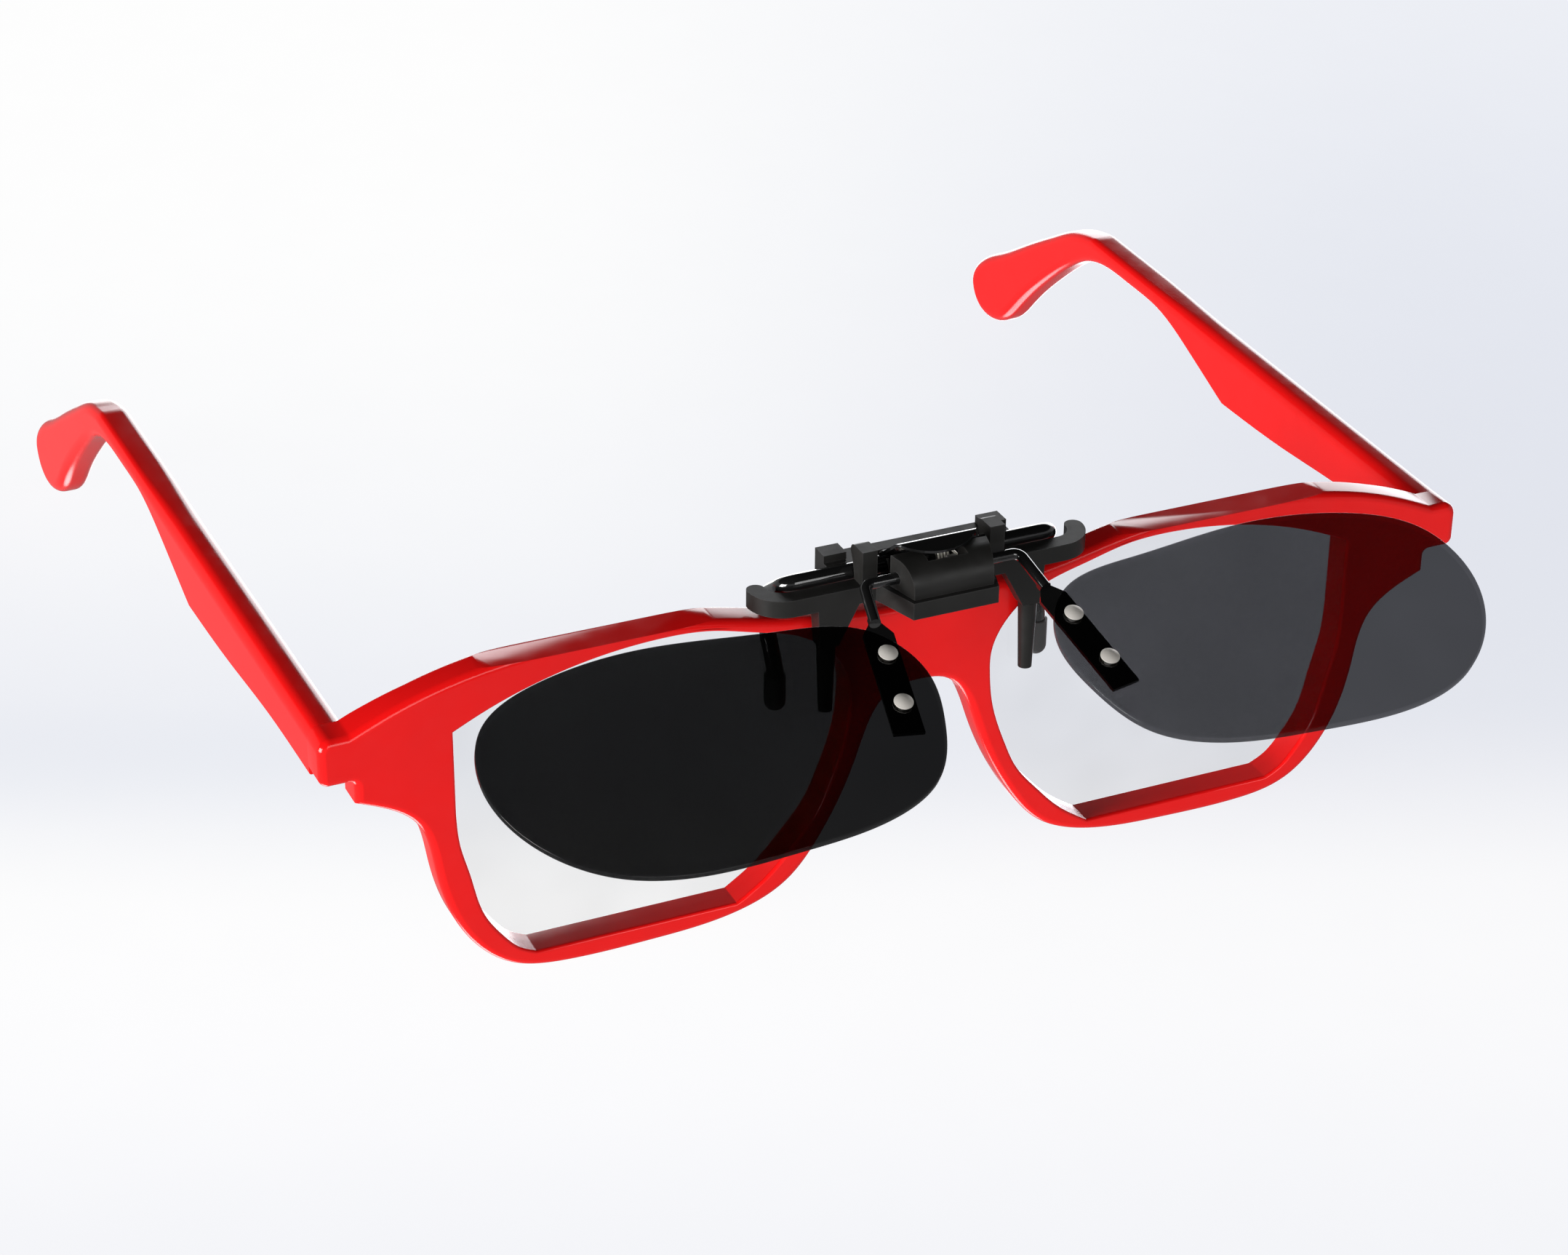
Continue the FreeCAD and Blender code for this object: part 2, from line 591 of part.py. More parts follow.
def rear_pad(side, word):
    """A soft round-ended sleeve over the tip of a leg."""
    x, y, z = side * S["leg_x"], S["leg_tip_y"], S["leg_bottom"]
    tube = cylinder("PadTube" + word, "pad_r", "pad_top - leg_bottom", at(x, y, z))
    tip = doc.addObject("Part::Sphere", "PadTip" + word)
    bind(tip, Radius="pad_r")
    tip.Placement = at(x, y, z)
    hole = cylinder("PadSeat" + word, "rod_r + 0.01", "6", at(x, y, z - 0.01))
    keep(cut("Pad" + word, join("PadBody" + word, [tube, tip]), hole), "rear_pad_" + word.lower())


# ---------------------------------------------------------------- flipping lens bridge

TINT = [
    (7.95, -13.5), (8.9, -20.4), (12.5, -27.3), (19.0, -30.8), (30.5, -32.3), (42.0, -32.4),
    (50.5, -30.0), (57.0, -23.9), (59.4, -16.0), (57.0, -8.6), (49.0, -4.2), (36.2, -2.7),
    (22.0, -4.1), (11.8, -6.7),
]


def flip_place():
    return at(0, S["flip_y"], S["flip_z"], X_AXIS, S["flip_tilt"])


def strip_point(along, across):
    """A point of the right strip: distance down its centre line, and outwards across it."""
    lean = math.radians(S["arm_lean"])
    u = S["arm_x"] + along * math.sin(lean) + across * math.cos(lean)
    v = -along * math.cos(lean) + across * math.sin(lean)
    return (u, v)


def lens_bridge():
    owner = doc.addObject("PartDesign::Body", "Strips")
    wide, neck = S["strip_width"] / 2, S["bridge_r"]
    outline = [strip_point(4.6, neck), strip_point(5.3, neck), strip_point(6.9, wide),
               strip_point(S["strip_end"], wide), strip_point(S["strip_end"], -wide),
               strip_point(6.9, -wide), strip_point(5.3, -neck), strip_point(4.6, -neck)]
    for side, word in ((1, "Right"), (-1, "Left")):
        pts = [(side * u, v) for u, v in outline]
        chains = [[p, q] for p, q in zip(pts, pts[1:] + pts[:1])]
        sk = sketch(owner, "Strip" + word, "XY_Plane", chains, S["strip_low"])
        pad(owner, "StripPlate" + word, sk, "strip_thick")
    holes = rivet_centres(1) + rivet_centres(-1)
    sk = circle_sketch(owner, "StripHoles", "XY_Plane", holes, "rivet_hole_r")
    pocket(owner, "StripBores", sk, "6 * strip_thick", midplane=True)
    doc.recompute()
    reach = S["arm_length"]
    tip = Vector(*strip_point(reach, 0), -0.2)
    bend = Vector(S["arm_x"], 0, 0)
    points = [Vector(-tip.x, tip.y, tip.z), Vector(-bend.x, 0, 0), bend, tip]
    rod = plain("BridgeRod", pipe(points, 1.1, S["bridge_r"]))
    keep(join("LensBridge", [rod, owner]), "lens_bridge", flip_place())


def rivet_centres(side):
    near, far = strip_point(S["rivet_near"], 0), strip_point(S["rivet_far"], 0)
    return [(side * near[0], near[1]), (side * far[0], far[1])]


def dark_lens(side, word):
    owner = body("DarkLens" + word, "dark_lens_" + word.lower())
    sk = owner.newObject("Sketcher::SketchObject", "TintOutline" + word)
    sk.AttachmentSupport = [(plane(owner, "XY_Plane"), "")]
    sk.MapMode = "FlatFace"
    sk.AttachmentOffset = Placement(Vector(0, 0, S["tint_low"]), Rotation())
    outline = Part.BSplineCurve()
    outline.interpolate([Vector(side * u, v, 0) for u, v in TINT], PeriodicFlag=True)
    sk.addGeometry(outline, False)
    pad(owner, "TintPlate" + word, sk, "tint_thick")
    holes = circle_sketch(owner, "TintHoles" + word, "XY_Plane", rivet_centres(side), "rivet_hole_r")
    pocket(owner, "TintBores" + word, holes, "6 * tint_thick", midplane=True)
    owner.Placement = flip_place()


def lens_rivets(side, word):
    top = S["tint_low"] + S["tint_thick"]
    rivets, washers = [], []
    for index, (x, y) in enumerate(rivet_centres(side)):
        tag = f"{word}{index}"
        under = S["strip_low"] - 0.32
        shank = cylinder("RivetShank" + tag, "rivet_r", "1.9", at(x, y, under + 0.1))
        foot = cylinder("RivetFoot" + tag, "collar_r", "0.3", at(x, y, under))
        dome = doc.addObject("Part::Sphere", "RivetDome" + tag)
        bind(dome, Radius="2 * rivet_head_r")
        level = top + S["collar_high"] + 0.02
        drop = math.sqrt(3) * S["rivet_head_r"]
        dome.Placement = at(x, y, level + 0.1 - drop)
        blank = cylinder("RivetBlank" + tag, "rivet_head_r", "0.6", at(x, y, level))
        head = doc.addObject("Part::Common", "RivetHead" + tag)
        head.Base = dome
        head.Tool = blank
        rivets.append(join("Rivet" + tag, [shank, foot, head]))
        ring = cylinder("WasherRing" + tag, "collar_r", "collar_high", at(x, y, top + 0.01))
        hole = cylinder("WasherHole" + tag, "rivet_hole_r", "2", at(x, y, top - 0.5))
        washers.append(cut("Washer" + tag, ring, hole))
    for pieces, name in ((rivets, "lens_rivets_"), (washers, "rivet_washers_")):
        group = doc.addObject("Part::Compound", name.title().replace("_", "") + word)
        group.Links = pieces
        keep(group, name + word.lower(), flip_place())


# ---------------------------------------------------------------- building and export

def build():
    front_frame()
    front_jaw()
    hinge_housing()
    housing_screws()
    spring_saddle()
    clamp_springs()
    flip_spring()
    rear_rod()
    rear_yoke()
    lens_bridge()
    for side, word in ((1, "Right"), (-1, "Left")):
        clear_lens(side, word)
        temple(side, word)
        hinge(side, word)
        rear_pad(side, word)
        dark_lens(side, word)
        lens_rivets(side, word)
    doc.recompute()


def check():
    bad = [o.Name for o in doc.Objects if "Invalid" in o.State or "Error" in o.State]
    if bad:
        raise RuntimeError("did not recompute: " + ", ".join(bad))
    for obj in parts:
        shape = obj.Shape
        if shape.isNull() or not shape.isValid() or not shape.Solids:
            raise RuntimeError(f"{obj.Label} has no valid solid")


def export():
    os.makedirs("parts", exist_ok=True)
    for obj in parts:
        obj.Shape.exportStep(f"parts/{obj.Label}.step")
        size = obj.Shape.BoundBox
        print(f"{obj.Label:28s} solids {len(obj.Shape.Solids)}  volume {obj.Shape.Volume:9.2f}  "
              f"{size.XLength:.1f} x {size.YLength:.1f} x {size.ZLength:.1f}")


build()
check()
export()
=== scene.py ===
# Flip-up clip-on sunglasses fitted to a red spectacle frame.
# Pieces are built in millimetres in the part's own frame and scaled to metres.

import math

import bmesh
import bpy
import numpy as np
from mathutils import Matrix, Vector
from mathutils.geometry import tessellate_polygon


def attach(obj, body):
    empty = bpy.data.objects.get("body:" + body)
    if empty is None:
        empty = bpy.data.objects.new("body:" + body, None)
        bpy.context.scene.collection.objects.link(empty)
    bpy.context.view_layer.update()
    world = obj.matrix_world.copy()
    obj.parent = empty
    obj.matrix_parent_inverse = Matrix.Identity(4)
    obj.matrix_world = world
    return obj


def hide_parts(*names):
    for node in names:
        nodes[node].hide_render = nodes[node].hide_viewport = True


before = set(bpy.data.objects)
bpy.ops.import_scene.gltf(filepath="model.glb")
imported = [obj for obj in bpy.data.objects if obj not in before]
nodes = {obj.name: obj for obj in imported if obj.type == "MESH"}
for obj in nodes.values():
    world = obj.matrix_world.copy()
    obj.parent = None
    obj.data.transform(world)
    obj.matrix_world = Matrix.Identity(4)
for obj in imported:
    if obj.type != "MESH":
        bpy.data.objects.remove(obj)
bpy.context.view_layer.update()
MM = 0.001


# ------------------------------------------------------------------ materials

GLOSS_SPREAD = 0.25
EDGE_HIGHLIGHT_WIDTH = 0.25
GLASS_IOR = 1.5


def linear(r, g, b):
    """An 8-bit sRGB colour as linear values."""
    out = []
    for c in (r, g, b):
        c /= 255
        out.append(c / 12.92 if c <= 0.04045 else ((c + 0.055) / 1.055) ** 2.4)
    return (*out, 1.0)


class Graph:
    """A short way to write the nodes of a material or of the world."""

    def __init__(self, owner):
        owner.use_nodes = True
        self.owner = owner
        self.tree = owner.node_tree
        self.tree.nodes.clear()

    def node(self, kind, **settings):
        n = self.tree.nodes.new("ShaderNode" + kind)
        links = settings.pop("links", {})
        values = settings.pop("values", {})
        for key, value in settings.items():
            setattr(n, key, value)
        for key, value in values.items():
            n.inputs[key].default_value = value
        for key, source in links.items():
            self.tree.links.new(source, n.inputs[key])
        return n

    def noise(self, scale, detail=2.0, stretch=(1, 1, 1)):
        """Noise fixed to the piece; scale is features per metre."""
        coords = self.node("TexCoord")
        mapping = self.node("Mapping", values={"Scale": stretch},
                            links={"Vector": coords.outputs["Object"]})
        return self.node("TexNoise", values={"Scale": scale, "Detail": detail, "Roughness": 0.55},
                         links={"Vector": mapping.outputs["Vector"]}).outputs["Fac"]

    def spread(self, source, low, high):
        """Stretches the middle of a noise over a range."""
        limits = {"From Min": 0.3, "From Max": 0.7, "To Min": low, "To Max": high}
        return self.node("MapRange", values=limits, links={"Value": source}).outputs["Result"]

    def out(self, shader):
        """Ends a material with its shader and returns it."""
        self.node("OutputMaterial", links={"Surface": shader})
        return self.owner


def solid(name, colour, rough, mottle=0.06, metal=0.0, coat=0.0, grain=900.0, grain_depth=0.004,
          brushed=(1, 1, 1), specular=0.5, edge_highlight=0.0):
    """A moulded, painted or metal surface with mottled colour, uneven gloss and a fine grain, and where
    asked a painted highlight that greys its edges.
    """
    g = Graph(bpy.data.materials.new(name))
    shade = g.spread(g.noise(160.0), 1 - mottle, 1 + mottle)
    rgb = g.node("RGB")
    rgb.outputs[0].default_value = colour
    tone = g.node("VectorMath", operation="SCALE", links={0: rgb.outputs[0], "Scale": shade}).outputs[0]
    # Painted highlight: every edge is mixed towards a light grey, standing in for the light that rounded
    # edges catch.
    if edge_highlight:
        bevel = g.node("Bevel", samples=4, values={"Radius": EDGE_HIGHLIGHT_WIDTH * MM})
        geometry = g.node("NewGeometry")
        dot = g.node("VectorMath", operation="DOT_PRODUCT",
                     links={0: bevel.outputs[0], 1: geometry.outputs["Normal"]}).outputs["Value"]
        limits = {"From Min": 0.93, "From Max": 0.80, "To Min": 0.0, "To Max": edge_highlight}
        edge_lit = g.node("MapRange", values=limits, links={"Value": dot}).outputs["Result"]
        tone = g.node("MixRGB", values={"Color2": (0.5, 0.5, 0.5, 1)},
                      links={"Fac": edge_lit, "Color1": tone}).outputs[0]
    gloss = g.spread(g.noise(420.0, 4.0, brushed), rough * (1 - GLOSS_SPREAD), rough * (1 + GLOSS_SPREAD))
    bump = g.node("Bump", values={"Strength": 0.35, "Distance": grain_depth * MM},
                  links={"Height": g.noise(grain, 5.0, brushed)})
    shader = g.node("BsdfPrincipled",
                    values={"Metallic": metal, "Coat Weight": coat, "Coat Roughness": 0.06,
                            "Specular IOR Level": specular},
                    links={"Base Color": tone, "Roughness": gloss, "Normal": bump.outputs[0]})
    return g.out(shader.outputs[0])


def glazing(name, through, rough=0.02, gloss=1.0):
    """A thin polished sheet: light passes with a tint on each face, and the faces mirror at a glance."""
    g = Graph(bpy.data.materials.new(name))
    drift = g.spread(g.noise(60.0), 1 - 0.03, 1 + 0.03)
    rgb = g.node("RGB")
    rgb.outputs[0].default_value = through
    tone = g.node("VectorMath", operation="SCALE", links={0: rgb.outputs[0], "Scale": drift}).outputs[0]
    clear = g.node("BsdfTransparent", links={"Color": tone})
    dull = g.spread(g.noise(350.0, 3.0), rough * 0.6, rough * 1.6)
    bump = g.node("Bump", values={"Strength": 0.1, "Distance": 0.001 * MM}, links={"Height": g.noise(90.0)})
    mirror = g.node("BsdfGlossy", links={"Roughness": dull, "Normal": bump.outputs[0]})
    fresnel = g.node("Fresnel", values={"IOR": GLASS_IOR}, links={"Normal": bump.outputs[0]})
    geometry = g.node("NewGeometry")
    front = g.node("MapRange", values={"To Min": gloss, "To Max": 0.0},
                   links={"Value": geometry.outputs["Backfacing"]})
    amount = g.node("Math", operation="MULTIPLY", links={0: fresnel.outputs[0], 1: front.outputs[0]})
    mix = g.node("MixShader", links={0: amount.outputs[0], 1: clear.outputs[0], 2: mirror.outputs[0]})
    return g.out(mix.outputs[0])


RED = solid("red_acetate", (0.86, 0.007, 0.007, 1), 0.15, mottle=0.02, grain=500, grain_depth=0.0003,
            specular=0.40)
# The black moulding carries a faint painted highlight along its edges.
BLACK = solid("black_moulding", (0.014, 0.0135, 0.0125, 1), 0.42, mottle=0.12, grain=2600, grain_depth=0.01,
              specular=0.34, edge_highlight=0.04)
LACQUER = solid("black_lacquer", (0.006, 0.006, 0.006, 1), 0.12, mottle=0.1, coat=1.0, grain=700)
NICKEL = solid("rivet_nickel", (0.78, 0.74, 0.68, 1), 0.38, mottle=0.04, metal=0.35, grain=3000)
STEEL = solid("hinge_steel", (0.52, 0.51, 0.49, 1), 0.34, mottle=0.06, metal=1.0, brushed=(1, 1, 12))
WIRE = solid("spring_wire", (0.80, 0.76, 0.68, 1), 0.30, mottle=0.05, metal=0.6, grain=2500)
NYLON = solid("pale_nylon", (0.55, 0.53, 0.50, 1), 0.45, mottle=0.04, grain=1800)
RUBBER = solid("smoke_rubber", (0.045, 0.045, 0.046, 1), 0.55, mottle=0.15, grain=3200, grain_depth=0.01)
CLEAR = glazing("clear_lens", (0.957, 0.957, 0.955, 1))
CLEAR_SIDE = glazing("clear_lens_side", (0.93, 0.935, 0.94, 1), rough=0.2, gloss=0.15)
# Both tinted lenses are one smoke tint drawn as two copies: the left copy is painted darker than the right,
# which is painted shade, not a different lens.
SMOKE = {
    "right": glazing("smoke_lens_right", (0.279, 0.280, 0.288, 1)),
    "left": glazing("smoke_lens_left_painted_shade", (0.117, 0.117, 0.118, 1)),
}
# The left lens edges are painted darker in the same way, as painted shade.
SMOKE_SIDE = {
    "right": glazing("smoke_side_right", (0.33, 0.33, 0.34, 1), rough=0.15, gloss=0.5),
    "left": glazing("smoke_side_left_painted_shade", (0.15, 0.15, 0.15, 1), rough=0.15, gloss=0.5),
}


# ------------------------------------------------------------------ outlines

def smooth(points, closed=False, per=10):
    """A cubic spline through the points, sampled evenly within each span."""
    p = np.array(points, float)
    if closed:
        p = np.vstack([p, p[:1]])
    h = np.linalg.norm(np.diff(p, axis=0), axis=1)
    n = len(h)
    size = n if closed else n + 1
    a, b = np.zeros((size, size)), np.zeros((size, 2))
    slope = np.diff(p, axis=0) / h[:, None]
    if closed:
        for i in range(n):
            before, after = h[i - 1], h[i]
            a[i, (i - 1) % n] += before
            a[i, i] += 2 * (before + after)
            a[i, (i + 1) % n] += after
            b[i] = 6 * (slope[i] - slope[i - 1])
    else:
        a[0, 0] = a[n, n] = 1
        for i in range(1, n):
            a[i, i - 1:i + 2] = h[i - 1], 2 * (h[i - 1] + h[i]), h[i]
            b[i] = 6 * (slope[i] - slope[i - 1])
    m = np.linalg.solve(a, b)
    if closed:
        m = np.vstack([m, m[:1]])
    out = []
    for i in range(n):
        for t in np.linspace(0, h[i], per, endpoint=False):
            s = h[i] - t
            out.append((m[i] * s ** 3 + m[i + 1] * t ** 3) / (6 * h[i])
                       + (p[i] / h[i] - m[i] * h[i] / 6) * s + (p[i + 1] / h[i] - m[i + 1] * h[i] / 6) * t)
    if not closed:
        out.append(p[-1])
    return [tuple(q) for q in out]


def corner(before, at, after, radius, steps=5):
    """An arc that rounds off one corner of an outline."""
    b, c, a = (np.array(q, float) for q in (before, at, after))
    into, out = (c - b) / np.linalg.norm(c - b), (a - c) / np.linalg.norm(a - c)
    half = math.acos(np.clip(into @ out, -1, 1)) / 2
    run = radius * math.tan(half)
    start, end = c - into * run, c + out * run
    centre = c + (out - into) / np.linalg.norm(out - into) * radius / math.cos(half)
    ring = []
    for t in np.linspace(0, 1, steps + 1):
        v = (1 - t) * (start - centre) + t * (end - centre)
        ring.append(tuple(centre + v / np.linalg.norm(v) * radius))
    return ring


def area(loop):
    """Signed area: positive when the loop runs anticlockwise."""
    p = np.array(loop)
    q = np.roll(p, -1, axis=0)
    return 0.5 * float((p[:, 0] * q[:, 1] - q[:, 0] * p[:, 1]).sum())


def tidy_loop(loop, gap=0.05):
    """Drops points that lie closer than a gap to the one before."""
    out = [loop[0]]
    for q in loop[1:]:
        if math.dist(q, out[-1]) > gap:
            out.append(q)
    if math.dist(out[0], out[-1]) < gap:
        out.pop()
    return out


def inset(loop, d):
    """Moves each point of a loop to its left by d."""
    p = np.array(loop)
    e = np.roll(p, -1, axis=0) - p
    e /= np.linalg.norm(e, axis=1)[:, None]
    n2 = np.stack([-e[:, 1], e[:, 0]], 1)
    n1 = np.roll(n2, 1, axis=0)
    k = np.maximum(1 + (n1 * n2).sum(1), 0.6)
    return p + d * (n1 + n2) / k[:, None]


# ------------------------------------------------------------------ plates with rounded edges

FACE_MARGIN = 0.05


def profile(w0, w1, r0, r1, steps=9):
    """(inset, height) pairs from the low face round the side to the high face."""
    out = [(r0 + FACE_MARGIN, np.full_like(r0, w0))]
    for i in range(steps + 1):
        a = math.pi / 2 * i / steps
        out.append((r0 * (1 - math.sin(a)), w0 + r0 * (1 - math.cos(a))))
    for i in range(steps + 1):
        a = math.pi / 2 * i / steps
        out.append((r1 * (1 - math.cos(a)), w1 - r1 * (1 - math.sin(a))))
    out.append((r1 + FACE_MARGIN, np.full_like(r1, w1)))
    return out


def radius_along(loop, rule):
    """A radius for every point of a loop, from a number or from a rule on its coordinates."""
    u, v = np.array(loop).T
    return rule(u, v) if callable(rule) else np.full(len(loop), float(rule))


def plate(loops, w0, w1, rounds, place):
    """A sheet between heights w0 and w1: the first loop is its outline and the others are its holes.
    rounds gives each loop's edge radii at the low and high faces; place turns (u, v, w) into x, y, z."""
    bm = bmesh.new()
    caps = {0: [], -1: []}
    sides = []
    for index, (loop, radii) in enumerate(zip(loops, rounds)):
        loop = tidy_loop(loop)
        if (area(loop) > 0) != (index == 0):
            loop = loop[::-1]
        low_r, high_r = (radius_along(loop, rule) for rule in radii)
        rings, flats = [], []
        for d, w in profile(w0, w1, low_r, high_r):
            flat = inset(loop, d[:, None])
            flats.append(flat)
            rings.append([bm.verts.new(Vector(place(u, v, h)) * MM) for (u, v), h in zip(flat, w)])
        n = len(loop)
        for low, high in zip(rings, rings[1:]):
            for i in range(n):
                sides.append(bm.faces.new((low[i], low[(i + 1) % n], high[(i + 1) % n], high[i])))
        for end in caps:
            caps[end].append((rings[end], flats[end]))
    for face in sides:
        face.material_index = 1
    for rings in caps.values():
        flat = [v for ring, _ in rings for v in ring]
        flat_uv = [[Vector((u, v, 0)) for u, v in points] for _, points in rings]
        for tri in tessellate_polygon(flat_uv):
            bm.faces.new([flat[i] for i in tri])
    bmesh.ops.recalc_face_normals(bm, faces=bm.faces)
    return bm


def cut_flat(bm, where, away):
    """Cuts everything beyond a plane off a closed mesh and closes it again."""
    geom = list(bm.verts) + list(bm.edges) + list(bm.faces)
    bmesh.ops.bisect_plane(bm, geom=geom, clear_outer=True,
                           plane_co=Vector(where) * MM, plane_no=Vector(away))
    bmesh.ops.holes_fill(bm, edges=[e for e in bm.edges if e.is_boundary])
    bmesh.ops.recalc_face_normals(bm, faces=bm.faces)


def piece(name, bm, body, materials, stands_for, sharp=32):
    """Makes an object of a mesh that rides on a body in place of some CAD nodes."""
    mesh = bpy.data.meshes.new(name)
    bm.to_mesh(mesh)
    bm.free()
    mesh.shade_smooth()
    mesh.set_sharp_from_angle(angle=math.radians(sharp))
    obj = bpy.data.objects.new(name, mesh)
    bpy.context.scene.collection.objects.link(obj)
    for m in materials:
        mesh.materials.append(m)
    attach(obj, body)
    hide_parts(*stands_for)
    return obj


# ------------------------------------------------------------------ spectacle front

FRONT_DEPTH = 4.0
BROW_FLAT = 17.35
PANE_BACK, PANE_FRONT = 1.55, 3.75
PANE_CENTRE = (32.3, -1.8)
PANE_SHRINK = 0.9985
RIM_HALF = [
    (3.2, 3.6), (7.6, -4.0), (12.0, -13.4), (16.2, -18.6), (23.0, -21.5), (33.0, -22.4),
    (43.0, -22.4), (50.0, -20.9), (55.0, -16.0), (58.2, -7.0), (60.0, -0.4), (66.9, 4.0),
]
BROW_HALF = [
    (67.4, 12.5), (62.0, 14.8), (52.0, 17.4), (37.0, 18.3), (25.5, 17.4), (17.5, 15.7), (9.0, 14.6),
]
OPENING_IN = [
    (55.75, 10.4), (52.6, 11.9), (43.8, 14.9), (38.8, 15.9), (32.0, 16.5), (25.5, 16.1), (20.8, 14.9),
    (15.3, 13.2), (11.4, 10.4), (9.0, 6.0), (8.9, 3.0), (9.3, -0.7), (11.3, -7.0), (12.8, -10.3),
    (15.7, -14.0), (18.7, -17.2), (22.6, -20.0),
]
OPENING_OUT = [
    (46.9, -20.0), (49.0, -18.9), (50.6, -17.2), (52.9, -13.6), (54.4, -8.0), (55.4, -4.0), (55.75, 0.3),
]


def front_place(u, v, w):
    """Stands an outline upright, with its height running forward from the back face."""
    return (u, -w, v)


def mirror(points):
    return [(-u, v) for u, v in reversed(points)]


def opening_loop():
    return smooth(OPENING_IN, per=8) + smooth(OPENING_OUT, per=8)


def front_loop():
    lower = smooth(mirror(RIM_HALF) + [(0.0, 4.1)] + RIM_HALF, per=14)
    brow = smooth(BROW_HALF + [(0.0, 14.2)] + mirror(BROW_HALF), per=14)
    step = [(66.9, 4.0), (66.9, 6.8), (70.8, 6.8), (70.8, 12.5), (67.4, 12.5)]
    end = corner(step[0], step[1], step[2], 0.6) + corner(step[1], step[2], step[3], 1.1, 8)
    end += corner(step[2], step[3], step[4], 1.6, 10)
    return lower + end + brow + mirror(end)


def back_radius(u, v):
    """The back edge is rounded along the rims and square where a temple butts against it."""
    return np.interp(np.abs(u), [60.0, 66.0], [0.7, 0.02])


def build_front():
    loops = [front_loop()]
    rounds = [(back_radius, 0.9)]
    for side in (1, -1):
        loops.append([(side * u, v) for u, v in opening_loop()])
        rounds.append((0.25, 0.35))
    bm = plate(loops, 0.0, FRONT_DEPTH, rounds, front_place)
    cut_flat(bm, (0, 0, BROW_FLAT), (0, 0, 1))
    piece("rim_front", bm, "spectacle_front", [RED, RED], ["front_frame"], sharp=30)


def build_clear(side, word):
    """A clear lens, a little smaller than its opening."""
    cu, cv = PANE_CENTRE
    k = PANE_SHRINK
    loop = [(side * (cu + k * (u - cu)), cv + k * (v - cv)) for u, v in opening_loop()]
    bm = plate([loop], PANE_BACK, PANE_FRONT, [(0.12, 0.12)], front_place)
    pane = piece("clear_pane_" + word, bm, "spectacle_front", [CLEAR, CLEAR_SIDE],
                 ["clear_lens_" + word])
    pane.visible_shadow = False


# ------------------------------------------------------------------ temples

TEMPLE_INNER, TEMPLE_OUTER = 66.6, 70.8
TEMPLE_START = 0.08
PIN_X, PIN_Y = 65.2, 2.3
SPLAY = math.radians(0.68)
TEMPLE_TAIL = [
    (82.0, 13.4), (87.0, 12.4), (94.0, 9.2), (102.0, 4.8), (110.5, 0.0), (115.8, -3.0), (118.3, -6.4),
    (116.8, -9.8), (112.8, -11.1), (108.0, -9.6), (103.5, -5.6), (95.0, 1.9), (89.0, 6.4), (84.0, 9.2),
    (78.5, 10.6), (71.0, 10.8), (62.0, 10.4), (54.0, 8.2), (44.5, 4.9),
]
TEMPLE_BLADE = [(44.5, 4.9), (29.5, 5.4), (14.0, 6.5), (0.1, 6.6), (-4.0, 6.6)]


def temple_loop():
    top = [(y, 12.5 + 0.011 * y) for y in np.linspace(-4.0, 81.0, 18)]
    return top + smooth(TEMPLE_TAIL, per=10) + smooth(TEMPLE_BLADE, per=6)


def temple_radius(y, z):
    """Broadly rounded above and round the tail, crisp along the underside of the blade."""
    middle = np.interp(y, [0, 44, 62, 82, 112, 120], [9.5, 9.0, 11.9, 11.9, -6.0, -6.5])
    above = np.interp(y, [0, 52, 64, 84, 95, 120], [1.6, 1.6, 1.1, 1.1, 1.5, 1.6])
    below = np.interp(y, [0, 46, 64, 84, 100, 120], [0.3, 0.3, 1.1, 1.1, 1.5, 1.6])
    return np.where(z > middle, above, below)


def build_temple(side, word):
    """A temple, cut square where it meets the front and splayed about its hinge pin."""
    pin = Vector((side * PIN_X, PIN_Y, 0))
    splay = Matrix.Rotation(-side * SPLAY, 4, "Z")
    bm = plate([temple_loop()], TEMPLE_INNER, TEMPLE_OUTER, [(temple_radius, temple_radius)],
               lambda y, z, w: Vector((side * w, y, z)))
    cut_flat(bm, (0, TEMPLE_START, 0), (0, -1, 0))
    for vert in bm.verts:
        vert.co = (pin + splay @ (vert.co / MM - pin)) * MM
    piece("temple_bar_" + word, bm, word + "_temple", [RED, RED],
          ["temple_" + word], sharp=30)


# ------------------------------------------------------------------ tinted lenses

TINT = [
    (7.95, -13.5), (8.9, -20.4), (12.5, -27.3), (19.0, -30.8), (30.5, -32.3), (42.0, -32.4),
    (50.5, -30.0), (57.0, -23.9), (59.4, -16.0), (57.0, -8.6), (49.0, -4.2), (36.2, -2.7),
    (22.0, -4.1), (11.8, -6.7),
]
TINT_LOW, TINT_HIGH = -0.25, 0.5
STRIP_X, STRIP_LEAN = 9.5, math.radians(9.7)
RIVETS_ALONG = (10.5, 17.4)
RIVET_HOLE = 0.48
FLIP = Matrix.Translation(Vector((0, -8.2, 20.6))) @ Matrix.Rotation(math.radians(20.8), 4, "X")


def flip_place(u, v, w):
    return FLIP @ Vector((u, v, w))


def strip_point(along):
    """A point on the centre line of a mounting strip."""
    return (STRIP_X + along * math.sin(STRIP_LEAN), -along * math.cos(STRIP_LEAN))


def circle(centre, radius, steps=20):
    turns = [2 * math.pi * i / steps for i in range(steps)]
    return [(centre[0] + radius * math.cos(t), centre[1] + radius * math.sin(t)) for t in turns]


